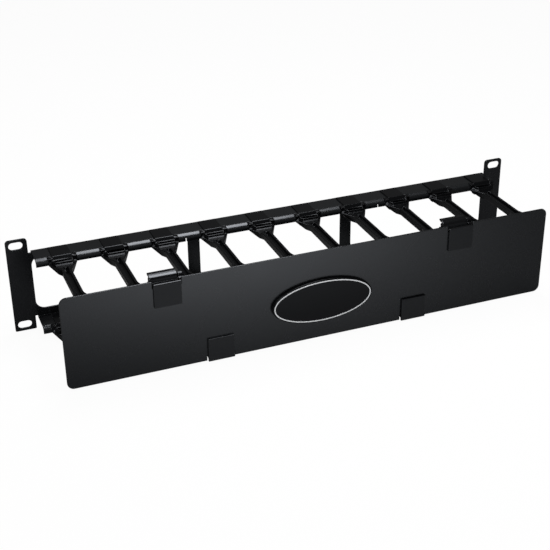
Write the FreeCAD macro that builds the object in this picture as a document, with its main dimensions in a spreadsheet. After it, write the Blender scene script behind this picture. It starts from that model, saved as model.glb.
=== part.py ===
"""Horizontal cable manager for a 19 inch rack, two units high, with a hinged cover.

Frame: X to the right along the rack, -Y out of the rack's face, Z up, in millimetres.
The origin is midway between the four mounting slots, on the back face of the ears.
"""
import FreeCAD, Part
import os
import Sketcher

SIZES = {
    # folded steel frame
    "rack_width": 482.6,
    "rack_height": 88.1,
    "sheet_thick": 1.5,
    "ear_width": 18.6,
    "ear_relief": 2.2,
    "ear_top_radius": 3.0,
    "ear_bottom_radius": 1.0,
    "slot_edge_x": 8.75,
    "slot_edge_z": 5.95,
    "slot_length": 12.2,
    "slot_height": 6.8,
    "window_edge": 18.85,
    "window_radius": 8.0,
    "post_x": 75.1,
    "post_width": 11.2,
    "upper_flange_drop": 11.95,
    "lower_flange_rise": 11.65,
    "flange_depth": 24.0,
    "lip_drop": 6.3,
    "lip_bend": 5.4,
    "back_bend": 2.0,
    "relief_extra": 0.4,
    "slit_x": 93.0,
    "slit_width": 0.9,
    "slit_below": 3.3,
    # moulded fingers
    "upper_first_in": 22.5,
    "lower_first_in": 19.5,
    "row_margin": 36.0,
    "web_below_flange": 4.7,
    "web_height": 5.6,
    "web_floor": 1.8,
    "arm_half": 4.1,
    "rib": 2.3,
    "groove_start_out": 11.0,
    "root_half": 12.5,
    "funnel_half": 9.6,
    "root_gap": 0.3,
    "root_wall": 1.2,
    "root_top_below": 1.4,
    "crest_out": 6.5,
    "gusset_out": 16.0,
    "pocket_side": 1.6,
    "pocket_taper": 1.5,
    "pocket_depth": 4.0,
    "tab_half": 8.4,
    "tab_thick": 1.0,
    "tab_rear_y": -3.0,
    "tab_front_in": 1.6,
    "jaw_thick": 1.8,
    "jaw_rise": 2.0,
    "flare_start_y": -83.0,
    "flare_end_y": -97.0,
    "flare_blend": 12.0,
    "head_half": 9.3,
    "head_thick": 3.0,
    "head_floor": 2.5,
    "head_fillet": 1.8,
    "head_top_above": 6.1,
    "head_corner": 2.0,
    # cover, hinge and clips
    "cover_gap": 1.0,
    "cover_thick": 1.5,
    "cover_in": 0.3,
    "cover_top_drop": 3.25,
    "cover_bottom_rise": 1.75,
    "cover_radius": 5.8,
    "cover_front_y": -113.5,
    "upper_hinge_drop": 4.5,
    "lower_hinge_rise": 2.9,
    "hinge_y": -100.6,
    "pin_radius": 2.2,
    "pin_fit": 0.08,
    "mouth_play": 0.35,
    "barrel_wall": 1.9,
    "upper_clip_share": 0.6032,
    "lower_clip_share": 0.4059,
    "clip_width": 23.4,
    "clip_side_gap": 0.6,
    "plate_thick": 2.0,
    "plate_height": 21.4,
    "upper_plate_drop": 2.0,
    "lower_plate_out": 0.3,
    "plate_corner": 0.5,
    "notch_reach": 1.7,
    "neck_thick": 2.0,
    "neck_rise": 1.3,
    "neck_valley": 1.2,
    "neck_valley_y": -106.0,
    "leg_width": 12.0,
    "leg_height": 9.0,
    "leg_thick": 1.7,
    "jaw_step": 0.4,
    "jaw_reach": 4.6,
    "lead_in": 1.6,
    "lead_rise": 1.0,
    "cheek_thick": 4.2,
    "cheek_round": 3.2,
    # badge
    "badge_x": 1.8,
    "badge_z": -5.4,
    "badge_width": 92.0,
    "badge_height": 40.0,
    "badge_thick": 3.6,
    "badge_edge": 1.2,
}

# Places that follow from the sizes above.
EAR_INNER = "( rack_width / 2 - ear_width )"
BODY_HALF = "( rack_width / 2 - ear_width - ear_relief )"
UPPER_FLANGE = "( rack_height / 2 - upper_flange_drop )"
LOWER_FLANGE = "( lower_flange_rise - rack_height / 2 )"
COVER_TOP = "( rack_height / 2 - cover_top_drop )"
COVER_BOTTOM = "( cover_bottom_rise - rack_height / 2 )"
UPPER_HINGE = "( rack_height / 2 - cover_top_drop - upper_hinge_drop )"
LOWER_HINGE = "( cover_bottom_rise - rack_height / 2 + lower_hinge_rise )"

FINGER_COUNT = 10
UPPER_HINGE_FINGERS = {3: -1, 9: 1}
LOWER_HINGE_FINGERS = {4: -1, 8: 1}

doc = FreeCAD.newDocument("cable_manager")
sheet = doc.addObject("Spreadsheet::Sheet", "Sizes")
for row, (alias, value) in enumerate(SIZES.items(), 1):
    sheet.set("A%d" % row, alias)
    sheet.set("B%d" % row, str(value))
    sheet.setAlias("B%d" % row, alias)
doc.recompute()


def expand(text):
    """Write the sheet's name before each size that an expression mentions."""
    words = text.replace("(", " ( ").replace(")", " ) ").replace(";", " ; ").split()
    named = ("Sizes." + w if w in SIZES else "-Sizes." + w[1:] if w[1:] in SIZES else w
             for w in words)
    return " ".join(named).replace("min (", "min(")


def value_of(text):
    """The number that an expression gives with the sheet's present sizes."""
    return float(sheet.evalExpression(expand(text).replace("Sizes.", "")))


def bind(feature, prop, text):
    """Bind one property of a feature to an expression of named sizes."""
    feature.setExpression(prop, expand(text))


def new_body(label):
    body = doc.addObject("PartDesign::Body", label)
    body.Label = label
    return body


def new_sketch(body, name, role, offset=None):
    """A sketch on one of the body's origin planes, moved along its normal by an expression."""
    sketch = body.newObject("Sketcher::SketchObject", name)
    plane = [item for item in body.Origin.OriginFeatures if item.Role == role][0]
    sketch.AttachmentSupport = [(plane, "")]
    sketch.MapMode = "FlatFace"
    if offset:
        bind(sketch, "AttachmentOffset.Base.z", offset)
    return sketch


def pin_point(sketch, geometry, point, place):
    """Hold one point of a sketch at a place given by two expressions."""
    for axis, text in zip(("DistanceX", "DistanceY"), place):
        index = sketch.addConstraint(
            Sketcher.Constraint(axis, -1, 1, geometry, point, value_of(text)))
        bind(sketch, "Constraints[%d]" % index, text)


def add_loop(sketch, places, arcs=None):
    """Add a closed outline through places given by pairs of expressions.

    Its sides are straight. A side named in arcs, by the number of the place that it starts
    from, is an arc instead, which runs anticlockwise about the centre given there.
    """
    arcs = arcs or {}
    corners = [FreeCAD.Vector(value_of(x), value_of(y), 0) for x, y in places]
    first = sketch.GeometryCount
    count = len(corners)
    for i in range(count):
        start, end = corners[i], corners[(i + 1) % count]
        side = Part.LineSegment(start, end)
        if i in arcs:
            centre = FreeCAD.Vector(value_of(arcs[i][0]), value_of(arcs[i][1]), 0)
            outwards = (start + end - centre - centre).normalize()
            side = Part.Arc(start, centre + outwards * (start - centre).Length, end)
        sketch.addGeometry(side, False)
    for i in range(count):
        follower = first + (i + 1) % count
        sketch.addConstraint(Sketcher.Constraint("Coincident", first + i, 2, follower, 1))
    for i, place in enumerate(places):
        pin_point(sketch, first + i, 1, place)
    for i, centre in arcs.items():
        pin_point(sketch, first + i, 3, centre[:1])


def add_circle(sketch, place, radius):
    """Add a circle whose centre and radius are expressions."""
    centre = FreeCAD.Vector(value_of(place[0]), value_of(place[1]), 0)
    normal = FreeCAD.Vector(0, 0, 1)
    index = sketch.addGeometry(Part.Circle(centre, normal, value_of(radius)), False)
    pin_point(sketch, index, 3, place)
    held = sketch.addConstraint(Sketcher.Constraint("Radius", index, value_of(radius)))
    bind(sketch, "Constraints[%d]" % held, radius)


def add_slot(sketch, place, length, height):
    """Add a horizontal slot with round ends about a centre, all given by expressions."""
    reach = "( %s - %s ) / 2" % (length, height)
    radius = "%s / 2" % height
    ends = [("%s - %s" % (place[0], reach), place[1]), ("%s + %s" % (place[0], reach), place[1])]
    left, right = [FreeCAD.Vector(value_of(x), value_of(z), 0) for x, z in ends]
    size = value_of(radius)
    up = FreeCAD.Vector(0, size, 0)
    out = FreeCAD.Vector(size, 0, 0)
    first = sketch.GeometryCount
    sketch.addGeometry(Part.Arc(left + up, left - out, left - up), False)
    sketch.addGeometry(Part.LineSegment(left - up, right - up), False)
    sketch.addGeometry(Part.Arc(right - up, right + out, right + up), False)
    sketch.addGeometry(Part.LineSegment(right + up, left + up), False)
    for i in range(4):
        follower = first + (i + 1) % 4
        sketch.addConstraint(Sketcher.Constraint("Tangent", first + i, 2, follower, 1))
    pin_point(sketch, first, 3, ends[0])
    pin_point(sketch, first + 2, 3, ends[1])
    held = sketch.addConstraint(Sketcher.Constraint("Radius", first, size))
    bind(sketch, "Constraints[%d]" % held, radius)


def pad(body, name, sketch, length, both_ways=False, backwards=False):
    """Thicken a sketch along its plane's normal, against it, or half each way."""
    feature = body.newObject("PartDesign::Pad", name)
    feature.Profile = sketch
    feature.SideType = "Symmetric" if both_ways else "One side"
    feature.Reversed = backwards
    bind(feature, "Length", length)


def cut(body, name, sketch, depth=None):
    """Cut a sketch into the body against its plane's normal, or right through both ways."""
    doc.recompute()
    volume = body.Shape.Volume
    feature = body.newObject("PartDesign::Pocket", name)
    feature.Profile = sketch
    if depth:
        bind(feature, "Length", depth)
    else:
        feature.SideType = "Symmetric"
        feature.Type = "ThroughAll"
    doc.recompute()
    if body.Shape.Volume > volume - 0.01:
        raise RuntimeError("%s cuts nothing from %s" % (name, body.Label))


def edges_along(body, axis, places):
    """Names of the body's straight edges along one axis at places given across that axis."""
    doc.recompute()
    across = [name for name in "xyz" if name != axis]
    wanted = [[value_of(text) for text in place] for place in places]
    found = {}
    for number, edge in enumerate(body.Tip.Shape.Edges, 1):
        ends = [[getattr(corner.Point, name) for name in across] for corner in edge.Vertexes]
        for i, spot in enumerate(wanted):
            if all(abs(a - b) < 0.001 for end in ends for a, b in zip(end, spot)):
                found.setdefault(i, []).append("Edge%d" % number)
    if len(found) < len(wanted):
        raise RuntimeError("%s lacks an edge along %s" % (body.Label, axis))
    return [name for names in found.values() for name in names]


def round_edges(body, name, radius, axis, places):
    """Round the straight edges along one axis at the given places."""
    edges = edges_along(body, axis, places)
    base = body.Tip
    feature = body.newObject("PartDesign::Fillet", name)
    feature.Base = (base, edges)
    bind(feature, "Radius", radius)


def other_side(places):
    """The places mirrored in the first coordinate, in reverse order."""
    return [("-( %s )" % x, y) for x, y in reversed(places)]


def build_frame():
    """The folded sheet: back panel with ears and windows, and two flanges with rolled lips."""
    body = new_body("rack_frame")
    upper_relief = UPPER_FLANGE + " - back_bend - relief_extra"
    lower_relief = LOWER_FLANGE + " - sheet_thick + back_bend + relief_extra"
    right = [
        (BODY_HALF, LOWER_FLANGE + " - sheet_thick"),
        (BODY_HALF, lower_relief),
        (EAR_INNER, lower_relief),
        (EAR_INNER, "-rack_height / 2"),
        ("rack_width / 2", "-rack_height / 2"),
        ("rack_width / 2", "rack_height / 2"),
        (EAR_INNER, "rack_height / 2"),
        (EAR_INNER, upper_relief),
        (BODY_HALF, upper_relief),
        (BODY_HALF, UPPER_FLANGE),
    ]
    panel = new_sketch(body, "panel_outline", "XZ_Plane")
    add_loop(panel, right + other_side(right))
    pad(body, "panel", panel, "sheet_thick")

    inner_y = "sheet_thick - flange_depth"
    stub = "2 * back_bend"
    upper = new_sketch(body, "upper_flange_profile", "YZ_Plane")
    add_loop(upper, [
        ("0", UPPER_FLANGE),
        ("-flange_depth", UPPER_FLANGE),
        ("-flange_depth", UPPER_FLANGE + " - lip_drop"),
        (inner_y, UPPER_FLANGE + " - lip_drop"),
        (inner_y, UPPER_FLANGE + " - sheet_thick"),
        ("-sheet_thick", UPPER_FLANGE + " - sheet_thick"),
        ("-sheet_thick", UPPER_FLANGE + " - " + stub),
        ("0", UPPER_FLANGE + " - " + stub),
    ])
    pad(body, "upper_flange", upper, "2 * " + BODY_HALF, both_ways=True)
    lower = new_sketch(body, "lower_flange_profile", "YZ_Plane")
    add_loop(lower, [
        ("0", LOWER_FLANGE + " - sheet_thick"),
        (inner_y, LOWER_FLANGE + " - sheet_thick"),
        (inner_y, LOWER_FLANGE + " - lip_drop"),
        ("-flange_depth", LOWER_FLANGE + " - lip_drop"),
        ("-flange_depth", LOWER_FLANGE),
        ("-sheet_thick", LOWER_FLANGE),
        ("-sheet_thick", LOWER_FLANGE + " + " + stub),
        ("0", LOWER_FLANGE + " + " + stub),
    ])
    pad(body, "lower_flange", lower, "2 * " + BODY_HALF, both_ways=True)

    round_edges(body, "lip_bends_inside", "lip_bend - sheet_thick", "x", [
        (inner_y, UPPER_FLANGE + " - sheet_thick"),
        (inner_y, LOWER_FLANGE + " - sheet_thick"),
    ])
    round_edges(body, "lip_bends_outside", "lip_bend", "x", [
        ("-flange_depth", UPPER_FLANGE),
        ("-flange_depth", LOWER_FLANGE),
    ])
    round_edges(body, "back_bends_outside", "back_bend", "x", [
        ("0", UPPER_FLANGE),
        ("0", LOWER_FLANGE + " - sheet_thick"),
    ])
    round_edges(body, "back_bends_inside", "back_bend - sheet_thick", "x", [
        ("-sheet_thick", UPPER_FLANGE + " - sheet_thick"),
        ("-sheet_thick", LOWER_FLANGE),
    ])

    post_out = "post_x + post_width / 2"
    post_in = "post_x - post_width / 2"
    outer = BODY_HALF + " + relief_extra"
    spans = [
        ("-( %s )" % outer, "-( %s )" % post_out),
        ("-( %s )" % post_in, post_in),
        (post_out, outer),
    ]
    top = "( rack_height / 2 - window_edge )"
    windows = new_sketch(body, "window_outlines", "XZ_Plane")
    for left, end in spans:
        add_loop(windows, [(left, "-" + top), (end, "-" + top), (end, top), (left, top)])
    cut(body, "windows", windows)
    round_edges(body, "window_corners", "window_radius", "y",
                [(x, z) for span in spans for x in span for z in (top, "-" + top)])
    for name, level in (("top", "rack_height / 2"), ("bottom", "-rack_height / 2")):
        sides = [(EAR_INNER, level), ("rack_width / 2", level)]
        round_edges(body, "ear_%s_corners" % name, "ear_%s_radius" % name, "y",
                    sides + other_side(sides))

    slots = new_sketch(body, "slot_outlines", "XZ_Plane")
    across, up = "( rack_width / 2 - slot_edge_x )", "( rack_height / 2 - slot_edge_z )"
    for x in (across, "-" + across):
        for z in (up, "-" + up):
            add_slot(slots, (x, z), "slot_length", "slot_height")
    cut(body, "rack_slots", slots)

    slits = new_sketch(body, "lip_slit_plan", "XY_Plane", UPPER_FLANGE + " - slit_below")
    for sign in ("-", "+"):
        middle = "upper_first_in - row_margin / 2 %s slit_x" % sign
        left, right = middle + " - slit_width / 2", middle + " + slit_width / 2"
        front, rear = "-flange_depth", "lip_bend - flange_depth"
        add_loop(slits, [(left, front), (right, front), (right, rear), (left, rear)])
    cut(body, "lip_slits", slits, "lip_drop - slit_below")


# The fingers are drawn in their own frames: X from the finger's axis, Z from the flange's top face.
WEB_BOTTOM = "-web_below_flange - web_height"
ROOT_REAR = "-flange_depth - root_gap"
TAB_FRONT = "tab_front_in - flange_depth"
CREST = "-flange_depth - crest_out"
GROOVE_START = "-flange_depth - groove_start_out"
GUSSET_END = "-flange_depth - gusset_out"
HEAD_FRONT = "cover_front_y + cover_thick + cover_gap"
HEAD_REAR = "cover_front_y + cover_thick + cover_gap + head_thick"


def flare(inset, reach, front):
    """The front part of the arm's side in plan, drawn in by an inset and opened to a reach."""
    return [
        ("arm_half - " + inset, "flare_start_y"),
        ("%s - %s" % (reach, inset), "flare_end_y"),
        ("%s - %s" % (reach, inset), front),
    ]


def build_finger(label, place, right="head_half", left="head_half", hinge=None):
    """One moulded finger: hooked root with a funnel, ribbed channel arm and a flared head.

    The place is its axis X and its flange's level. Right and left are the head's reaches.
    The hinge, where there is one, is the bar's level, its far end and its carrier's wall.
    """
    body = new_body(label)
    for axis, text in zip("xz", place):
        bind(body, "Placement.Base." + axis, text)

    gusset = [("root_half", ROOT_REAR), ("arm_half", GUSSET_END)]
    plan = new_sketch(body, "arm_plan", "XY_Plane", WEB_BOTTOM)
    far_side = other_side(gusset + flare("0", left, HEAD_FRONT))
    add_loop(plan, gusset + flare("0", right, HEAD_FRONT) + far_side)
    pad(body, "arm", plan, "web_height")
    raised = [("funnel_half", ROOT_REAR), ("arm_half", GUSSET_END)]
    funnel = new_sketch(body, "funnel_plan", "XY_Plane", WEB_BOTTOM)
    add_loop(funnel, raised + other_side(raised))
    pad(body, "funnel", funnel, "web_below_flange + web_height - root_top_below")
    ramp = new_sketch(body, "ramp_profile", "YZ_Plane")
    add_loop(ramp, [
        (GUSSET_END, "-web_below_flange"),
        (CREST, "-root_top_below"),
        (CREST, "0"),
        (GUSSET_END, "0"),
    ])
    cut(body, "ramp", ramp)
    rise = new_sketch(body, "root_rise_profile", "YZ_Plane")
    add_loop(rise, [
        (GROOVE_START, WEB_BOTTOM),
        (ROOT_REAR, WEB_BOTTOM),
        (ROOT_REAR, "-lip_drop"),
    ])
    cut(body, "root_rise", rise)
    hook = new_sketch(body, "hook_profile", "YZ_Plane")
    lip_rear = "sheet_thick - flange_depth + root_gap"
    lip_under = "-lip_drop - root_gap"
    seat_y = "lip_bend - flange_depth"
    seat_z = "-lip_bend - root_gap"
    pocket_rear = ROOT_REAR + " - root_wall"
    add_loop(hook, [
        ("tab_rear_y", "0"),
        (seat_y, "0"),
        (ROOT_REAR, seat_z),
        (ROOT_REAR, lip_under),
        (lip_rear, lip_under),
        (lip_rear, lip_under + " + jaw_rise"),
        (lip_rear + " + jaw_thick", lip_under + " + jaw_rise"),
        (lip_rear + " + jaw_thick", WEB_BOTTOM),
        (pocket_rear, WEB_BOTTOM),
        (pocket_rear, "-web_below_flange"),
        (TAB_FRONT, "tab_thick"),
        ("tab_rear_y", "tab_thick"),
    ], arcs={1: (seat_y, seat_z)})
    pad(body, "hook", hook, "2 * tab_half", both_ways=True)
    round_edges(body, "flare_blends", "flare_blend", "z",
                [("arm_half", "flare_start_y"), ("-arm_half", "flare_start_y")])

    start = [("arm_half - rib", GROOVE_START)]
    groove_front = HEAD_REAR + " + head_floor"
    groove = new_sketch(body, "groove_plan", "XY_Plane", "-root_top_below")
    far_side = other_side(start + flare("rib", left, groove_front))
    add_loop(groove, start + flare("rib", right, groove_front) + far_side)
    cut(body, "groove", groove, "web_below_flange + web_height - root_top_below - web_floor")
    mouth = new_sketch(body, "pocket_plan", "XY_Plane", "-root_top_below")
    wide = "funnel_half - pocket_side"
    side = [(wide, pocket_rear), (wide + " - pocket_taper", CREST + " + root_wall")]
    add_loop(mouth, side + other_side(side))
    cut(body, "pocket", mouth, "pocket_depth")

    head = new_sketch(body, "head_plan", "XY_Plane", WEB_BOTTOM)
    far_left = "-( %s )" % left
    add_loop(head, [
        (right, HEAD_REAR),
        (right, HEAD_FRONT),
        (far_left, HEAD_FRONT),
        (far_left, HEAD_REAR),
    ])
    pad(body, "head", head, "web_below_flange + web_height + head_top_above")
    round_edges(body, "head_corners", "head_corner", "y",
                [(right, "head_top_above"), (far_left, "head_top_above")])
    round_edges(body, "head_root", "head_fillet", "x", [(HEAD_REAR, "-web_below_flange")])
    if hinge:
        add_hinge_bar(body, far_left, *hinge)


def add_hinge_bar(body, near, level, end, wall):
    """Add the round bar that a clip snaps on, held in the head's left side or in a cheek there."""
    if wall == "cheek_thick":
        cheek = new_sketch(body, "cheek_profile", "YZ_Plane", near)
        add_loop(cheek, [
            (HEAD_FRONT, WEB_BOTTOM),
            ("hinge_y + cheek_round", WEB_BOTTOM),
            ("hinge_y + cheek_round", level),
            ("hinge_y - cheek_round", level),
            (HEAD_FRONT, "0"),
        ])
        pad(body, "cheek", cheek, wall)
        boss = new_sketch(body, "boss_profile", "YZ_Plane", near)
        add_circle(boss, ("hinge_y", level), "cheek_round")
        pad(body, "boss", boss, wall)
    bar = new_sketch(body, "bar_profile", "YZ_Plane", end)
    add_circle(bar, ("hinge_y", level), "pin_radius")
    pad(body, "bar", bar, "%s + %s / 2 - ( %s )" % (near, wall, end))


def build_row(name, first_in, flange, hinge_z, share, hinge_fingers, wall):
    """One row of fingers. A clip's bar grows from the finger on its right."""
    pitch = "( 2 * %s - row_margin ) / %d" % (BODY_HALF, FINGER_COUNT - 1)
    for number in range(1, FINGER_COUNT + 1):
        axis = "-%s + %s + %d * %s" % (BODY_HALF, first_in, number - 1, pitch)
        options = {}
        if number in hinge_fingers:
            middle = "%d * %s * %s" % (hinge_fingers[number], BODY_HALF, share)
            end = "%s - clip_width / 2 - ( %s )" % (middle, axis)
            options["left"] = "%s - ( %s + clip_width / 2 + clip_side_gap )" % (axis, middle)
            options["hinge"] = ("%s - %s" % (hinge_z, flange), end, wall)
        if number + 1 in hinge_fingers:
            middle = "%d * %s * %s" % (hinge_fingers[number + 1], BODY_HALF, share)
            room = "%s - clip_width / 2 - clip_side_gap - ( %s )" % (middle, axis)
            options["right"] = "min( head_half ; %s )" % room
        build_finger("%s_finger_%02d" % (name, number), (axis, flange), **options)


def build_cover():
    """The flat cover with round corners and a notch for each clip's neck."""
    body = new_body("cover_plate")
    outline = new_sketch(body, "cover_outline", "XZ_Plane", "-cover_front_y - cover_thick")
    side = [(BODY_HALF + " - cover_in", level) for level in (COVER_BOTTOM, COVER_TOP)]
    corners = side + other_side(side)
    add_loop(outline, corners)
    pad(body, "cover", outline, "cover_thick")
    round_edges(body, "cover_corners", "cover_radius", "y", corners)
    notches = new_sketch(body, "notch_outlines", "XZ_Plane")
    half = "clip_width / 2 + clip_side_gap"
    for share, edge, floor in (
            ("upper_clip_share", COVER_TOP, UPPER_HINGE + " - notch_reach"),
            ("lower_clip_share", COVER_BOTTOM, LOWER_HINGE + " + notch_reach")):
        for sign in ("", "-"):
            middle = "%s%s * %s" % (sign, BODY_HALF, share)
            left, right = "%s - ( %s )" % (middle, half), "%s + %s" % (middle, half)
            add_loop(notches, [(left, edge), (right, edge), (right, floor), (left, floor)])
    cut(body, "notches", notches)


def build_clip(label, x, level, plate_top, upside_down):
    """One hinge clip, drawn about its bar: front plate, neck, leg and a barrel open to the rear."""
    body = new_body(label)
    for axis, text in zip("xyz", (x, "hinge_y", level)):
        bind(body, "Placement.Base." + axis, text)
    if upside_down:
        body.Placement.Rotation = FreeCAD.Rotation(FreeCAD.Vector(0, 1, 0), 180)

    cover_front = "hinge_y - cover_front_y"
    half = "clip_width / 2"
    plate = new_sketch(body, "plate_outline", "XZ_Plane", cover_front)
    bottom = plate_top + " - plate_height"
    corners = [("-" + half, bottom), (half, bottom), (half, plate_top), ("-" + half, plate_top)]
    add_loop(plate, corners)
    pad(body, "plate", plate, "plate_thick")
    round_edges(body, "plate_corners", "plate_corner", "y", corners)

    inside_plate = "cover_front_y - hinge_y - plate_thick / 2"
    valley_y = "neck_valley_y - hinge_y"
    wall_middle = "-pin_radius - pin_fit - barrel_wall / 2"
    neck = new_sketch(body, "neck_profile", "YZ_Plane")
    add_loop(neck, [
        (inside_plate, "neck_rise"),
        (valley_y, "-neck_valley"),
        (wall_middle, "-neck_valley"),
        (wall_middle, "-neck_valley - neck_thick"),
        (valley_y, "-neck_valley - neck_thick"),
        (inside_plate, "neck_rise - neck_thick"),
    ])
    pad(body, "neck", neck, "clip_width", both_ways=True)
    leg = new_sketch(body, "leg_outline", "XZ_Plane", cover_front + " - cover_thick")
    top = "-neck_thick / 2"
    leg_half = "leg_width / 2"
    add_loop(leg, [
        ("-" + leg_half, top + " - leg_height"),
        (leg_half, top + " - leg_height"),
        (leg_half, top),
        ("-" + leg_half, top),
    ])
    pad(body, "leg", leg, "leg_thick", backwards=True)

    barrel = new_sketch(body, "barrel_outline", "YZ_Plane")
    add_circle(barrel, ("0", "0"), "pin_radius + pin_fit + barrel_wall")
    pad(body, "barrel", barrel, "clip_width", both_ways=True)
    jaws = new_sketch(body, "jaws_profile", "YZ_Plane")
    tip = "pin_radius + pin_fit + barrel_wall + jaw_step"
    add_loop(jaws, [("0", tip), ("jaw_reach", tip), ("jaw_reach", "-( %s )" % tip), ("0", "-( %s )" % tip)])
    pad(body, "jaws", jaws, "clip_width", both_ways=True)
    mouth = new_sketch(body, "mouth_profile", "YZ_Plane")
    half_mouth = "pin_radius + mouth_play"
    upper = [
        ("0", half_mouth),
        ("jaw_reach - lead_in", half_mouth),
        ("jaw_reach", half_mouth + " + lead_rise"),
    ]
    add_loop(mouth, upper + [(y, "-( %s )" % z) for y, z in reversed(upper)])
    cut(body, "mouth", mouth)
    bore = new_sketch(body, "bore_outline", "YZ_Plane")
    add_circle(bore, ("0", "0"), "pin_radius + pin_fit")
    cut(body, "bore", bore)


def build_badge():
    """The raised oval badge on the cover, with a bevelled front edge."""
    body = new_body("badge")
    bind(body, "Placement.Base.x", "badge_x")
    bind(body, "Placement.Base.z", "badge_z")
    oval = new_sketch(body, "oval", "XZ_Plane", "-cover_front_y")
    wide, high = value_of("badge_width") / 2, value_of("badge_height") / 2
    centre = FreeCAD.Vector(0, 0, 0)
    oval.addGeometry(Part.Ellipse(FreeCAD.Vector(wide, 0, 0), FreeCAD.Vector(0, high, 0), centre), False)
    oval.exposeInternalGeometry(0)
    pin_point(oval, 0, 3, ("0", "0"))
    oval.addConstraint(Sketcher.Constraint("Horizontal", 1))
    for line, axis, text in ((1, "DistanceX", "badge_width"), (2, "DistanceY", "badge_height")):
        ends = (1, 2) if value_of(text) > 0 else (2, 1)
        start, finish = [oval.getPoint(line, end) for end in ends]
        span = (finish - start).x + (finish - start).y
        ends = ends if span > 0 else ends[::-1]
        held = oval.addConstraint(
            Sketcher.Constraint(axis, line, ends[0], line, ends[1], value_of(text)))
        bind(oval, "Constraints[%d]" % held, text)
    pad(body, "disc", oval, "badge_thick")
    doc.recompute()
    disc = body.Tip
    rim = ["Edge%d" % number for number, edge in enumerate(disc.Shape.Edges, 1)
           if abs(edge.BoundBox.YMax - value_of("cover_front_y - badge_thick")) < 0.001]
    bevel = body.newObject("PartDesign::Chamfer", "bevel")
    bevel.Base = (disc, rim)
    bind(bevel, "Size", "badge_edge")


build_frame()
build_row("upper", "upper_first_in", UPPER_FLANGE, UPPER_HINGE, "upper_clip_share",
          UPPER_HINGE_FINGERS, "cheek_thick")
build_row("lower", "lower_first_in", LOWER_FLANGE, LOWER_HINGE, "lower_clip_share",
          LOWER_HINGE_FINGERS, "rib")
build_cover()
for side, sign in (("left", "-"), ("right", "")):
    build_clip("upper_clip_" + side, "%s%s * upper_clip_share" % (sign, BODY_HALF), UPPER_HINGE,
               "upper_hinge_drop - upper_plate_drop", False)
    build_clip("lower_clip_" + side, "%s%s * lower_clip_share" % (sign, BODY_HALF), LOWER_HINGE,
               "lower_hinge_rise + lower_plate_out", True)
build_badge()
doc.recompute()

for item in doc.Objects:
    if "Invalid" in item.State or "Error" in item.State:
        raise RuntimeError("%s did not rebuild: %s" % (item.Label, item.State))
pieces = [item for item in doc.Objects if item.TypeId == "PartDesign::Body"]
for piece in pieces:
    if piece.Shape.isNull() or not piece.Shape.isValid() or len(piece.Shape.Solids) != 1:
        raise RuntimeError("%s is not one sound solid" % piece.Label)
os.makedirs("parts", exist_ok=True)
for piece in pieces:
    piece.Shape.exportStep("parts/%s.step" % piece.Label)
    box = piece.Shape.BoundBox
    print("%-18s %9.1f mm3  x %.1f..%.1f  y %.1f..%.1f  z %.1f..%.1f" % (
        piece.Label, piece.Shape.Volume, box.XMin, box.XMax, box.YMin, box.YMax, box.ZMin, box.ZMax))
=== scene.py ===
"""A two-unit horizontal cable manager: looks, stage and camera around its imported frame."""
import math
from contextlib import contextmanager

import bmesh
import bpy
import numpy as np
from mathutils import Matrix, Vector


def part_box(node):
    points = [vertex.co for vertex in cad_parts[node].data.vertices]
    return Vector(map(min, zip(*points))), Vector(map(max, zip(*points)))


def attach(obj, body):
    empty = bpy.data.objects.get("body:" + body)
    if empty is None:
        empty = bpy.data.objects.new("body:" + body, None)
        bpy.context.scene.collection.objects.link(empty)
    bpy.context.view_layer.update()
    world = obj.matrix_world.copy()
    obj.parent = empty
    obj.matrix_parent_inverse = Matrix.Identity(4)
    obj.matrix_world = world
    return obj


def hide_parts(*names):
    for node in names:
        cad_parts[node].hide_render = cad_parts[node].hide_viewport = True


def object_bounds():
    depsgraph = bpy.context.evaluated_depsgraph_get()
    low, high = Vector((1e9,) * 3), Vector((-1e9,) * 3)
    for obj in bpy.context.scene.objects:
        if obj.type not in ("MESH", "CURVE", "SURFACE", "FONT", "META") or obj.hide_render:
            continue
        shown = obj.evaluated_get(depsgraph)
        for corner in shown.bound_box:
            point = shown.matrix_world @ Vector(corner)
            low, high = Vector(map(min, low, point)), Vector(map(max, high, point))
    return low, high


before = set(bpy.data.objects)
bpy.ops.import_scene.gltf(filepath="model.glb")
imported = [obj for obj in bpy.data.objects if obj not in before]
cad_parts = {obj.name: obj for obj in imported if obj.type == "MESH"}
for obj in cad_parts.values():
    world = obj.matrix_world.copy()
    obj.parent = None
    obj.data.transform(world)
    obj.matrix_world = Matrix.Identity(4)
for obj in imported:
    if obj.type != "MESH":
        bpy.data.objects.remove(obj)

bl_info = {
    "name": "Horizontal cable manager",
    "version": (1, 0, 0),
    "blender": (4, 5, 0),
    "location": "3D View > Sidebar > Cable manager",
    "description": "Finishes, stage and camera for a rack cable manager with a hinged cover",
    "category": "Object",
}

CAD_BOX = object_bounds()
UPPER_FINGERS = sorted(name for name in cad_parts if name.startswith("upper_finger"))
LOWER_FINGERS = sorted(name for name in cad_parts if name.startswith("lower_finger"))
CLIPS = sorted(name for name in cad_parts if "_clip_" in name)

JOIN_WITHIN = 0.00001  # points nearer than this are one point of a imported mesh
FLAT_WITHIN = math.radians(0.5)  # faces that turn by less than this are one flat face
ROUND_OVER = math.radians(35)  # an edge that stands out by more than this gets rounded
ROUND_UNDER = math.radians(120)  # and by less than this, on a finger
SLIVER = 0.000003  # width of the thin faces that rounding leaves and that are closed up
SENSOR = 36  # width of the camera's sensor in millimetres


def linear(hex_colour):
    """An sRGB colour such as "#202124" as a linear RGBA tuple."""
    parts = [int(hex_colour[i:i + 2], 16) / 255 for i in (1, 3, 5)]
    return tuple(c / 12.92 if c <= 0.04045 else ((c + 0.055) / 1.055) ** 2.4 for c in parts) + (1,)


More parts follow.
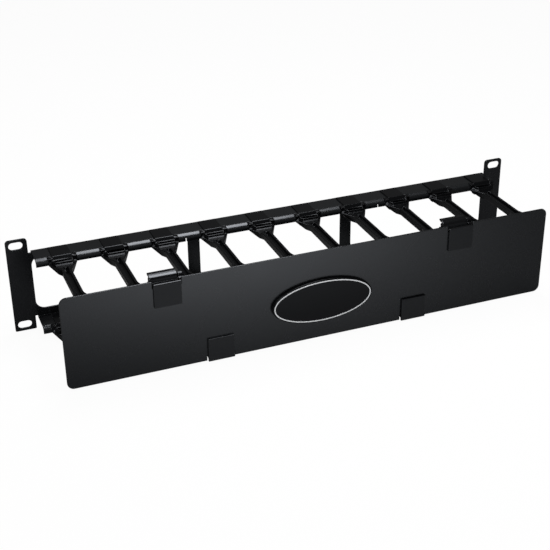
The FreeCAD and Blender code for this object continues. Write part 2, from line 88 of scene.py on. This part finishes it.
def add_node(tree, kind, inputs=None, **settings):
    """Add a node to a tree with its settings, and link its inputs or give them values."""
    node = tree.nodes.new(kind)
    for name, value in settings.items():
        setattr(node, name, value)
    for name, value in (inputs or {}).items():
        if isinstance(value, bpy.types.NodeSocket):
            tree.links.new(value, node.inputs[name])
        else:
            node.inputs[name].default_value = value
    return node


class CableManagerFinish(bpy.types.PropertyGroup):
    """Colours, gloss and edges of the steel, the mouldings and the badge."""
    steel_colour: bpy.props.FloatVectorProperty(
        name="Powder coat", description="Colour of the coat on the folded steel",
        subtype="COLOR", size=4, min=0, max=1, default=linear("#08090a"))
    steel_roughness: bpy.props.FloatProperty(
        name="Coat roughness", description="How satin the powder coat is",
        min=0, max=1, default=0.27, subtype="FACTOR")
    steel_edge: bpy.props.FloatProperty(
        name="Coated edge", description="Radius of the sheet's edges under the coat",
        subtype="DISTANCE", unit="LENGTH", min=0, default=0.0003)
    plastic_colour: bpy.props.FloatVectorProperty(
        name="Moulded nylon", description="Colour of the fingers and clips",
        subtype="COLOR", size=4, min=0, max=1, default=linear("#050506"))
    plastic_roughness: bpy.props.FloatProperty(
        name="Nylon roughness", description="How satin the mouldings are",
        min=0, max=1, default=0.24, subtype="FACTOR")
    plastic_edge: bpy.props.FloatProperty(
        name="Moulded edge", description="Radius of the mouldings' edges",
        subtype="DISTANCE", unit="LENGTH", min=0, default=0.0005)
    web_reach: bpy.props.FloatVectorProperty(
        name="Web reach", description="Where a finger's flat web begins and ends, from its rear",
        subtype="XYZ_LENGTH", size=2, default=(0.0274, 0.0380))
    web_top: bpy.props.FloatProperty(
        name="Web top", description="Height of a finger's web over its underside",
        subtype="DISTANCE", unit="LENGTH", min=0, default=0.0056)
    lip_bend: bpy.props.FloatVectorProperty(
        name="Lip bend", description="Y of the rolled lip's axis, its height over a finger's "
        "underside and its outer radius", default=(-0.0186, 0.0049, 0.00542),
        precision=5, subtype="XYZ_LENGTH", unit="LENGTH")
    cheek_size: bpy.props.FloatVectorProperty(
        name="Cheek size", description="Y of the cheek's front, Y of its rear, and the heights "
        "of its front and rear tops over a finger's underside", size=4,
        default=(-0.0250, -0.0197, 0.0103, 0.0106), precision=5, unit="LENGTH")
    cheek_reach: bpy.props.FloatVectorProperty(
        name="Cheek reach", description="How far from a finger's middle a cheek starts and ends",
        size=2, default=(0.0082, 0.0125), precision=5, unit="LENGTH")
    ring_colour: bpy.props.FloatVectorProperty(
        name="Badge ring", description="Colour of the ring line on the badge",
        subtype="COLOR", size=4, min=0, max=1, default=linear("#e0e2e4"))
    ring_size: bpy.props.FloatVectorProperty(
        name="Ring size", description="Outer width and height of the ring line and its line width",
        subtype="XYZ_LENGTH", size=3, default=(0.0890, 0.0375, 0.0010))


class CableManagerStage(bpy.types.PropertyGroup):
    """Camera, lamps and floor."""
    azimuth: bpy.props.FloatProperty(
        name="Azimuth", description="Camera's bearing from the front",
        subtype="ANGLE", default=math.radians(-21.252))
    elevation: bpy.props.FloatProperty(
        name="Elevation", description="Camera's height angle",
        subtype="ANGLE", default=math.radians(27.642))
    roll: bpy.props.FloatProperty(
        name="Roll", description="Camera's turn about its own axis",
        subtype="ANGLE", default=math.radians(-0.649))
    place: bpy.props.FloatVectorProperty(
        name="Camera place", description="Where the camera stands",
        subtype="TRANSLATION", size=3, default=(-0.35302, -0.91706, 0.47776))
    lens: bpy.props.FloatProperty(
        name="Lens", description="Focal length in millimetres on a 36 mm sensor",
        min=1, default=77.14)
    key_place: bpy.props.FloatVectorProperty(
        name="Key place", description="Middle of the softbox over the object",
        subtype="TRANSLATION", size=3, default=(0.12, 0.06, 0.9))
    key_size: bpy.props.FloatVectorProperty(
        name="Key size", description="Width and depth of the softbox over the object",
        subtype="XYZ_LENGTH", size=2, default=(0.42, 0.92))
    key_light: bpy.props.FloatProperty(
        name="Key light", description="Radiance of the softbox over the object",
        min=0, default=7.6)
    fill_place: bpy.props.FloatVectorProperty(
        name="Fill place", description="Middle of the lamp in front of the object, on the left",
        subtype="TRANSLATION", size=3, default=(-0.9, -1.6, 1.0))
    fill_size: bpy.props.FloatVectorProperty(
        name="Fill size", description="Width and height of the lamp in front of the object",
        subtype="XYZ_LENGTH", size=2, default=(1.0, 1.0))
    fill_light: bpy.props.FloatProperty(
        name="Fill light", description="Radiance of the lamp in front of the object",
        min=0, default=4.5)
    room_light: bpy.props.FloatProperty(
        name="Room light", description="Light from all round on the object's own colours",
        min=0, default=0.15)
    room_sheen: bpy.props.FloatProperty(
        name="Room sheen", description="Light from all round in the object's sheen",
        min=0, default=0.09)
    floor_reach: bpy.props.FloatProperty(
        name="Floor reach", description="How far the floor goes each way from the middle",
        subtype="DISTANCE", unit="LENGTH", min=0, default=6.0)
    floor_white: bpy.props.FloatProperty(
        name="Floor white", description="Share of the floor that looks plain white. The rest "
        "shows its shadow", subtype="FACTOR", min=0, max=1, default=0.95)
    # Painted pool of light: in reflections the floor glows with a bell-shaped pool painted into its
    # emission, not a lamp's light. The settings below place, size and brighten it.
    painted_pool_share: bpy.props.FloatProperty(
        name="Floor sheen", description="Share of the floor in the sheen that is the pool's",
        subtype="FACTOR", min=0, max=1, default=0.86)
    painted_pool_place: bpy.props.FloatVectorProperty(
        name="Pool place", description="Middle of the pool of light on the floor",
        subtype="TRANSLATION", size=3, default=(-0.02, -0.30, 0.0))
    painted_pool_spread: bpy.props.FloatVectorProperty(
        name="Pool spread", description="How far the pool of light reaches across and in depth",
        subtype="XYZ_LENGTH", size=2, default=(0.155, 0.078))
    painted_pool_light: bpy.props.FloatProperty(
        name="Pool light", description="The floor's light in the sheen, in the pool's middle",
        min=0, default=1.5)
    painted_pool_edge: bpy.props.FloatProperty(
        name="Pool edge", description="The floor's light in the sheen, outside the pool",
        min=0, default=0.0)


def surface_of(name, colour, roughness, specular):
    """A new node material of one colour, with its shader and its tree."""
    material = bpy.data.materials.new(name)
    material.use_nodes = True
    shader = material.node_tree.nodes["Principled BSDF"]
    shader.inputs["Base Color"].default_value = colour
    shader.inputs["Roughness"].default_value = roughness
    shader.inputs["Specular IOR Level"].default_value = specular
    shader.inputs["Specular Tint"].default_value = linear("#f2f7ff")
    return material, shader, material.node_tree


def powder_coat(finish):
    """Satin black polyester powder, sprayed and baked on folded steel.

    The powder flows out into a faint orange peel about a millimetre across, which breaks up the
    sheen, and the film is a little glossier in some patches, 36 mm across, than in others.
    """
    material, shader, tree = surface_of("satin_black_powder_coat", finish.steel_colour,
                                        finish.steel_roughness, 0.7)
    place = add_node(tree, "ShaderNodeTexCoord").outputs["Object"]
    flow = add_node(tree, "ShaderNodeTexNoise", {"Vector": place, "Scale": 28, "Detail": 2})
    gloss = add_node(tree, "ShaderNodeMapRange",
                     {"Value": flow.outputs["Fac"], "To Min": finish.steel_roughness - 0.04,
                      "To Max": finish.steel_roughness + 0.04})
    tree.links.new(gloss.outputs["Result"], shader.inputs["Roughness"])
    peel = add_node(tree, "ShaderNodeTexNoise", {"Vector": place, "Scale": 900, "Detail": 3})
    bump = add_node(tree, "ShaderNodeBump",
                    {"Height": peel.outputs["Fac"], "Strength": 0.12, "Distance": 0.00001})
    tree.links.new(bump.outputs["Normal"], shader.inputs["Normal"])
    return material


def moulded_nylon(finish):
    """Black nylon, injection moulded in a fine spark-eroded mould.

    The mould leaves a grain a third of a millimetre across, drawn here at half a millimetre so
    that it shows, and that dulls the sheen below the steel's.
    """
    material, shader, tree = surface_of("moulded_black_nylon", finish.plastic_colour,
                                        finish.plastic_roughness, 0.33)
    place = add_node(tree, "ShaderNodeTexCoord").outputs["Object"]
    grain = add_node(tree, "ShaderNodeTexNoise", {"Vector": place, "Scale": 2000, "Detail": 2})
    bump = add_node(tree, "ShaderNodeBump",
                    {"Height": grain.outputs["Fac"], "Strength": 0.08, "Distance": 0.000008})
    tree.links.new(bump.outputs["Normal"], shader.inputs["Normal"])
    return material


def moulded_acetal(finish):
    """Black acetal, injection moulded: slick and glossier than the nylon where it is round.

    The mould's flat face was etched, so the clip's front plate, which faces straight out, is
    duller. The etching is 0.6 mm across.
    """
    slick, etched = 0.16, 0.7
    material, shader, tree = surface_of("moulded_black_acetal", finish.plastic_colour, slick, 0.65)
    place = add_node(tree, "ShaderNodeTexCoord")
    facing = add_node(tree, "ShaderNodeSeparateXYZ", {"Vector": place.outputs["Normal"]})
    plate = add_node(tree, "ShaderNodeMapRange",
                     {"Value": facing.outputs["Y"], "From Min": -0.9, "From Max": -1,
                      "To Min": slick, "To Max": etched})
    tree.links.new(plate.outputs["Result"], shader.inputs["Roughness"])
    etch = add_node(tree, "ShaderNodeTexNoise",
                    {"Vector": place.outputs["Object"], "Scale": 1600, "Detail": 2})
    bump = add_node(tree, "ShaderNodeBump",
                    {"Height": etch.outputs["Fac"], "Strength": 0.08, "Distance": 0.000008})
    tree.links.new(bump.outputs["Normal"], shader.inputs["Normal"])
    return material


def gloss_face(finish):
    """Black ABS, moulded with a smoother face than the nylon: a clean, slightly deeper black.

    Its gloss drifts over patches 17 mm across, as the plastic flowed into the mould.
    """
    material, shader, tree = surface_of("moulded_black_abs", finish.plastic_colour, 0.3, 0.2)
    place = add_node(tree, "ShaderNodeTexCoord").outputs["Object"]
    flow = add_node(tree, "ShaderNodeTexNoise", {"Vector": place, "Scale": 60, "Detail": 2})
    gloss = add_node(tree, "ShaderNodeMapRange",
                     {"Value": flow.outputs["Fac"], "To Min": 0.26, "To Max": 0.34})
    tree.links.new(gloss.outputs["Result"], shader.inputs["Roughness"])
    return material


def silver_line(finish):
    """Pale grey hot-stamped foil on the badge's raised line: a soft, even, metallic grey.

    The foil's gloss is mottled, 0.8 mm across.
    """
    material, shader, tree = surface_of("hot_stamped_silver_grey", finish.ring_colour, 0.42, 0.5)
    shader.inputs["Metallic"].default_value = 0.25
    place = add_node(tree, "ShaderNodeTexCoord").outputs["Object"]
    foil = add_node(tree, "ShaderNodeTexNoise", {"Vector": place, "Scale": 1200, "Detail": 2})
    gloss = add_node(tree, "ShaderNodeMapRange",
                     {"Value": foil.outputs["Fac"], "To Min": 0.36, "To Max": 0.5})
    tree.links.new(gloss.outputs["Result"], shader.inputs["Roughness"])
    return material


def round_edges(piece, radius, limit):
    """Round a piece's sharp edges, or those with a weight, and even out its shading."""
    edge = piece.modifiers.new("round edges", "BEVEL")
    edge.width = radius
    edge.segments = 2
    edge.limit_method = limit
    edge.angle_limit = ROUND_OVER
    edge.use_clamp_overlap = False
    edge.miter_outer = "MITER_ARC"
    piece.modifiers.new("no slivers", "WELD").merge_threshold = SLIVER
    piece.modifiers.new("even shading", "WEIGHTED_NORMAL").keep_sharp = True


def finish_node(node, material, radius):
    """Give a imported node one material, join its triangles into flat faces and round its edges."""
    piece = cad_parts[node]
    slots = piece.data.materials
    if not slots:
        slots.append(material)
    for i in range(len(slots)):
        slots[i] = material
    piece.modifiers.new("joined", "WELD").merge_threshold = JOIN_WITHIN
    flat = piece.modifiers.new("flat faces", "DECIMATE")
    flat.decimate_type = "DISSOLVE"
    flat.angle_limit = FLAT_WITHIN
    round_edges(piece, radius, "ANGLE")


class CABLEMANAGER_OT_steel(bpy.types.Operator):
    """Coat the folded frame and the cover"""
    bl_idname = "cable_manager.steel"
    bl_label = "Coat the steel"

    def execute(self, context):
        finish = context.scene.cable_manager_finish
        coat = powder_coat(finish)
        for node in ("rack_frame", "cover_plate"):
            finish_node(node, coat, finish.steel_edge)
        return {"FINISHED"}


class CABLEMANAGER_OT_clips(bpy.types.Operator):
    """Finish the clips that hinge the cover"""
    bl_idname = "cable_manager.clips"
    bl_label = "Finish the clips"

    def execute(self, context):
        finish = context.scene.cable_manager_finish
        acetal = moulded_acetal(finish)
        for node in CLIPS:
            finish_node(node, acetal, finish.plastic_edge)
        return {"FINISHED"}


@contextmanager
def editing(mesh):
    """Open a mesh for changes, and put them back into it."""
    shape = bmesh.new()
    shape.from_mesh(mesh)
    yield shape
    shape.to_mesh(mesh)
    shape.free()


def ring_mesh(name, points, closed):
    """A mesh over rings of points, each ring closed, and the last joined to the first if closed.

    Rings that aren't joined that way get a flat cap at each end.
    """
    sections, around = points.shape[:2]
    index = np.arange(sections * around).reshape(sections, around)
    ahead, beside = np.roll(index, -1, axis=0), np.roll(index, -1, axis=1)
    faces = np.stack([index, beside, np.roll(beside, -1, axis=0), ahead], axis=-1)
    caps = [] if closed else [index[0, ::-1].tolist(), index[-1].tolist()]
    walls = faces if closed else faces[:-1]
    mesh = bpy.data.meshes.new(name)
    mesh.from_pydata(points.reshape(-1, 3).tolist(), [], walls.reshape(-1, 4).tolist() + caps)
    return mesh


def add_object(name, data):
    """An object of a mesh, a lamp or a camera, in the scene."""
    item = bpy.data.objects.new(name, data)
    bpy.context.scene.collection.objects.link(item)
    return item


def ready_piece(piece, material, body):
    """Shade a piece smoothly in one material, with a material slot's finish, riding on a body."""
    piece.data.polygons.foreach_set("use_smooth", [True] * len(piece.data.polygons))
    piece.data.materials.append(material)
    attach(piece, body)


def prism(name, outline, left, right):
    """A closed solid whose side view is the outline, rows of y and z, drawn out along X."""
    ends = np.stack([np.insert(outline, 0, x, axis=1) for x in (left, right)])
    mesh = ring_mesh(name, ends, False)
    with editing(mesh) as shape:
        bmesh.ops.recalc_face_normals(shape, faces=shape.faces)
    return add_object(name, mesh)


def web_block(low, high, finish):
    """A block over the finger's web, from its pocket's wall forward and from its flat top up."""
    spare = 0.001
    far, near = (high.y - reach for reach in reversed(finish.web_reach))
    floor, roof = low.z + finish.web_top, low.z + 2 * finish.web_top
    outline = [(far, floor), (near, floor), (near, roof), (far, roof)]
    return prism("block", outline, low.x - spare, high.x + spare)


def lip_cheeks(low, high, finish):
    """Two cheeks beside the finger's tab, which wrap the flange's rolled lip.

    Their outline follows the lip's arc, which is the bend's axis plus its radius times minus the
    sine and plus the cosine of the angle from the top. The arc goes from 12 degrees to the front,
    at 90, and from there the outline goes straight out, up and back.
    """
    bend_y, bend_z, radius = finish.lip_bend
    front, rear, front_top, rear_top = finish.cheek_size
    turn = np.radians(np.linspace(12, 90, 10))
    arc = np.stack([bend_y - radius * np.sin(turn), low.z + bend_z + radius * np.cos(turn)], axis=1)
    outline = np.vstack([arc, (front, arc[-1, 1]), (front, low.z + front_top),
                         (rear, low.z + rear_top)])
    middle = high.x - finish.cheek_reach[1]
    ends = [sorted(middle + side * reach for reach in finish.cheek_reach) for side in (-1, 1)]
    return [prism("cheek", outline, *end) for end in ends]


def carve(piece, tools):
    """Cut solids from a piece's mesh or join them to it, and delete the solids."""
    for tool, operation in tools:
        change = piece.modifiers.new(tool.name, "BOOLEAN")
        change.object = tool
        change.operation = operation
        change.solver = "EXACT"
    graph = bpy.context.evaluated_depsgraph_get()
    whole = piece.data
    piece.data = bpy.data.meshes.new_from_object(piece.evaluated_get(graph))
    piece.modifiers.clear()
    for mesh in [whole] + [tool.data for tool, operation in tools]:
        bpy.data.meshes.remove(mesh)


def weigh_edges(mesh):
    """Merge a mesh's flat faces and weigh the edges that get rounded.

    Those are the edges that stand out by an angle between the two limits. An inner corner or a
    thin rim stays sharp.
    """
    with editing(mesh) as shape:
        bmesh.ops.remove_doubles(shape, verts=shape.verts, dist=JOIN_WITHIN)
        bmesh.ops.dissolve_limit(shape, angle_limit=FLAT_WITHIN,
                                 verts=shape.verts, edges=shape.edges)
        weight = shape.edges.layers.float.new("bevel_weight_edge")
        for edge in shape.edges:
            edge[weight] = float(ROUND_OVER < edge.calc_face_angle_signed(0) < ROUND_UNDER)


def shape_finger(node, finish, material):
    """Stand for a packed finger with a copy that has a flat web and cheeks round the lip.

    The copy's triangles are joined. A block is cut from it, so that the web is flat in front of
    the pocket's thin wall, and two cheeks are added beside its tab.
    """
    low, high = (Vector(corner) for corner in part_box(node))
    mesh = bpy.data.meshes.new_from_object(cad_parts[node])
    with editing(mesh) as shape:
        bmesh.ops.remove_doubles(shape, verts=shape.verts, dist=JOIN_WITHIN)
    piece = add_object(node + "_moulded", mesh)
    cheeks = [(cheek, "UNION") for cheek in lip_cheeks(low, high, finish)]
    carve(piece, [(web_block(low, high, finish), "DIFFERENCE")] + cheeks)
    weigh_edges(piece.data)
    piece.data.materials.clear()
    ready_piece(piece, material, "frame")
    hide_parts(node)
    round_edges(piece, finish.plastic_edge, "WEIGHT")


class CABLEMANAGER_OT_fingers(bpy.types.Operator):
    """Finish the moulded fingers"""
    bl_idname = "cable_manager.fingers"
    bl_label = "Finish the fingers"

    def execute(self, context):
        finish = context.scene.cable_manager_finish
        nylon = moulded_nylon(finish)
        for node in UPPER_FINGERS + LOWER_FINGERS:
            shape_finger(node, finish, nylon)
        return {"FINISHED"}


def oval_boss(box, sunk, steps=144):
    """Rings of points of an oval boss, from its rim at the back over a round shoulder to its face.

    Each ring is an ellipse whose inset and depth follow one profile: a short lead-in, a straight
    wall, a quarter-circle shoulder, and a face sunk by a set depth at its edge that rises towards
    its middle as a quarter of a sine wave.
    """
    (left, front, bottom), (right, back, top) = box
    lead, shoulder = 0.0003, 0.0012
    inner, risen = 0.985, 0.7  # how far in the last ring lies, and how much of the depth it regains
    turn = np.linspace(0, 2 * np.pi, steps, endpoint=False)
    arc = np.linspace(0, np.pi / 2, 8)
    share = np.linspace(0, 1, 10)[1:]
    reach = (top - bottom) / 2 - shoulder
    inset = np.concatenate([[lead, 0, 0], shoulder * (1 - np.cos(arc[1:])),
                            shoulder + inner * reach * share])
    depth = np.concatenate([[back, back - lead, front + sunk + shoulder],
                            front + sunk + shoulder * (1 - np.sin(arc[1:])),
                            front + sunk * (1 - risen * np.sin(share * np.pi / 2))])
    points = np.empty((len(inset), steps, 3))
    points[..., 0] = (left + right) / 2 + ((right - left) / 2 - inset)[:, None] * np.cos(turn)
    points[..., 1] = depth[:, None]
    points[..., 2] = (bottom + top) / 2 + ((top - bottom) / 2 - inset)[:, None] * np.sin(turn)
    return points


def oval_line(box, size, height, steps=144, around=16):
    """Rings of points of a raised line carried round an ellipse, its top at the box's front.

    The line's section is a squarish oval: cosine and sine raised to the power 0.5, with their
    signs. The section stands across the ellipse, along its normal.
    """
    (left, front, bottom), (right, back, top) = box
    width, tall, line = size
    half_x, half_z = width / 2 - line / 2, tall / 2 - line / 2
    turn = np.linspace(0, 2 * np.pi, steps, endpoint=False)[:, None]
    across = np.stack([half_z * np.cos(turn), half_x * np.sin(turn)], axis=-1)
    across /= np.linalg.norm(across, axis=-1, keepdims=True)
    bend = np.linspace(0, 2 * np.pi, around, endpoint=False)
    side = line / 2 * np.sign(np.cos(bend)) * np.abs(np.cos(bend)) ** 0.5
    rise = height / 2 * np.sign(np.sin(bend)) * np.abs(np.sin(bend)) ** 0.5
    points = np.empty((steps, around, 3))
    points[..., 0] = (left + right) / 2 + half_x * np.cos(turn) + across[..., 0] * side
    points[..., 1] = front + height / 2 - rise
    points[..., 2] = (bottom + top) / 2 + half_z * np.sin(turn) + across[..., 1] * side
    return points


class CABLEMANAGER_OT_badge(bpy.types.Operator):
    """Make the badge's round-shouldered oval and its raised line"""
    bl_idname = "cable_manager.badge"
    bl_label = "Make the badge"

    def execute(self, context):
        finish = context.scene.cable_manager_finish
        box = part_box("badge")
        sunk, raised = 0.0002, 0.0004
        boss = add_object("badge_boss", ring_mesh("badge_boss", oval_boss(box, sunk), False))
        ready_piece(boss, gloss_face(finish), "cover")
        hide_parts("badge")
        points = oval_line(box, finish.ring_size, raised)
        ring = add_object("badge_ring", ring_mesh("badge_ring", points, True))
        ready_piece(ring, silver_line(finish), "cover")
        return {"FINISHED"}


def floor_finish(stage):
    """White paper: white to the eye, with a faint shadow, and a painted pool of light in its
    reflections.

    In the object's sheen the paper glows with a pool of light painted into its emission, not cast
    by a lamp, so the flat steel shows a painted reflection as a gradient. The painted pool falls
    off from a place in front of the object, as a bell curve across and as one over one plus the
    squared distance in depth.
    """
    material, paper, tree = surface_of("white_paper_and_painted_pool", linear("#f4f4f4"), 0.9, 0.2)
    ray = add_node(tree, "ShaderNodeLightPath")
    place = add_node(tree, "ShaderNodeTexCoord")
    # painted pool of light: the floor's emission strength in reflections, a bell across and a
    # falloff in depth
    spread = Vector((1 / stage.painted_pool_spread[0], 1 / stage.painted_pool_spread[1], 0))
    from_pool = add_node(tree, "ShaderNodeMapping",
                         {"Vector": place.outputs["Object"], "Scale": spread,
                          "Location": -Vector(stage.painted_pool_place) * spread})
    squared = add_node(tree, "ShaderNodeVectorMath",
                       {0: from_pool.outputs[0], 1: from_pool.outputs[0]}, operation="MULTIPLY")
    split = add_node(tree, "ShaderNodeSeparateXYZ", {"Vector": squared.outputs[0]})
    power = add_node(tree, "ShaderNodeMath", {0: split.outputs["X"], 1: -0.5},
                     operation="MULTIPLY")
    across = add_node(tree, "ShaderNodeMath", {0: power.outputs[0]}, operation="EXPONENT")
    along = add_node(tree, "ShaderNodeMath", {0: split.outputs["Y"], 1: 1}, operation="ADD")
    bell = add_node(tree, "ShaderNodeMath", {0: across.outputs[0], 1: along.outputs[0]},
                    operation="DIVIDE")
    # the painted pool's strength, which the floor emits only to reflection rays
    sheen = add_node(tree, "ShaderNodeMapRange",
                     {"Value": bell.outputs[0], "To Min": stage.painted_pool_edge,
                      "To Max": stage.painted_pool_light})
    strength = add_node(tree, "ShaderNodeMix",
                        {"Factor": ray.outputs["Is Glossy Ray"], "A": 1,
                         "B": sheen.outputs["Result"]})
    white = add_node(tree, "ShaderNodeEmission", {"Strength": strength.outputs[0]})
    seen = add_node(tree, "ShaderNodeMath",
                    {0: ray.outputs["Is Camera Ray"], 1: stage.floor_white}, operation="MULTIPLY")
    share = add_node(tree, "ShaderNodeMath",
                     {0: ray.outputs["Is Glossy Ray"], 1: stage.painted_pool_share, 2: seen.outputs[0]},
                     operation="MULTIPLY_ADD")
    mix = add_node(tree, "ShaderNodeMixShader",
                   {0: share.outputs[0], 1: paper.outputs[0], 2: white.outputs[0]})
    tree.links.new(mix.outputs[0], tree.nodes["Material Output"].inputs["Surface"])
    return material


def add_floor(stage):
    """A square sheet of paper under the object, at the height of its lowest point."""
    half, level = stage.floor_reach, CAD_BOX[0][2]
    corners = [(x * half, y * half, level) for x, y in ((-1, -1), (1, -1), (1, 1), (-1, 1))]
    mesh = bpy.data.meshes.new("floor")
    mesh.from_pydata(corners, [], [(0, 1, 2, 3)])
    mesh.materials.append(floor_finish(stage))
    add_object("floor", mesh)


def add_area(name, place, aim, size, radiance):
    """An area lamp of a size in metres and a radiance, at a place and turned to face a point."""
    lamp = bpy.data.lights.new(name, "AREA")
    lamp.shape = "RECTANGLE"
    lamp.size, lamp.size_y = size
    lamp.energy = radiance * math.pi * size[0] * size[1]
    holder = add_object(name, lamp)
    holder.location = place
    holder.rotation_euler = (Vector(aim) - Vector(place)).to_track_quat("-Z", "Y").to_euler()


def add_world(stage):
    """A white room: plain white to the eye, and a dim light from all round on the object."""
    world = bpy.data.worlds.new("studio")
    bpy.context.scene.world = world
    world.use_nodes = True
    tree = world.node_tree
    ray = add_node(tree, "ShaderNodeLightPath")
    seen = add_node(tree, "ShaderNodeMath",
                    {0: ray.outputs["Is Camera Ray"], 1: ray.outputs["Is Transmission Ray"]},
                    operation="MAXIMUM")
    around = add_node(tree, "ShaderNodeMapRange",
                      {"Value": ray.outputs["Is Glossy Ray"], "To Min": stage.room_light,
                       "To Max": stage.room_sheen})
    strength = add_node(tree, "ShaderNodeMix",
                        {"Factor": seen.outputs[0], "A": around.outputs["Result"], "B": 1})
    background = tree.nodes["Background"]
    background.inputs["Color"].default_value = (1, 1, 1, 1)
    tree.links.new(strength.outputs[0], background.inputs["Strength"])


def add_camera(stage):
    """The camera, at its place and turned by its azimuth, elevation and roll."""
    camera = bpy.data.cameras.new("camera")
    camera.lens = stage.lens
    camera.sensor_width = SENSOR
    holder = add_object("camera", camera)
    turn = (Matrix.Rotation(stage.azimuth, 4, "Z")
            @ Matrix.Rotation(math.pi / 2 - stage.elevation, 4, "X")
            @ Matrix.Rotation(stage.roll, 4, "Z"))
    holder.matrix_world = Matrix.Translation(stage.place) @ turn
    bpy.context.scene.camera = holder


class CABLEMANAGER_OT_stage(bpy.types.Operator):
    """Add the floor, the lamps, the world and the camera"""
    bl_idname = "cable_manager.stage"
    bl_label = "Build the stage"

    def execute(self, context):
        stage = context.scene.cable_manager_stage
        add_floor(stage)
        key = Vector(stage.key_place)
        add_area("overhead_softbox", key, key - Vector((0, 0, 1)), stage.key_size, stage.key_light)
        add_area("front_fill", stage.fill_place, (0, 0, 0), stage.fill_size, stage.fill_light)
        add_world(stage)
        add_camera(stage)
        context.scene.view_settings.view_transform = "Standard"
        return {"FINISHED"}


class CABLEMANAGER_PT_panel(bpy.types.Panel):
    """The steps that finish the cable manager, in order"""
    bl_idname = "CABLEMANAGER_PT_panel"
    bl_label = "Cable manager"
    bl_space_type = "VIEW_3D"
    bl_region_type = "UI"
    bl_category = "Cable manager"

    def draw(self, context):
        for step in OPERATORS:
            self.layout.operator(step.bl_idname)
        for group in (context.scene.cable_manager_finish, context.scene.cable_manager_stage):
            for name in group.__annotations__:
                self.layout.prop(group, name)


OPERATORS = (CABLEMANAGER_OT_steel, CABLEMANAGER_OT_fingers, CABLEMANAGER_OT_clips,
             CABLEMANAGER_OT_badge, CABLEMANAGER_OT_stage)
CLASSES = (CableManagerFinish, CableManagerStage, CABLEMANAGER_PT_panel) + OPERATORS


def register():
    for item in CLASSES:
        bpy.utils.register_class(item)
    bpy.types.Scene.cable_manager_finish = bpy.props.PointerProperty(type=CableManagerFinish)
    bpy.types.Scene.cable_manager_stage = bpy.props.PointerProperty(type=CableManagerStage)


def unregister():
    del bpy.types.Scene.cable_manager_stage
    del bpy.types.Scene.cable_manager_finish
    for item in reversed(CLASSES):
        bpy.utils.unregister_class(item)


def main():
    register()
    for step in OPERATORS:
        group, name = step.bl_idname.split(".")
        getattr(getattr(bpy.ops, group), name)()


if __name__ == "__main__":
    main()
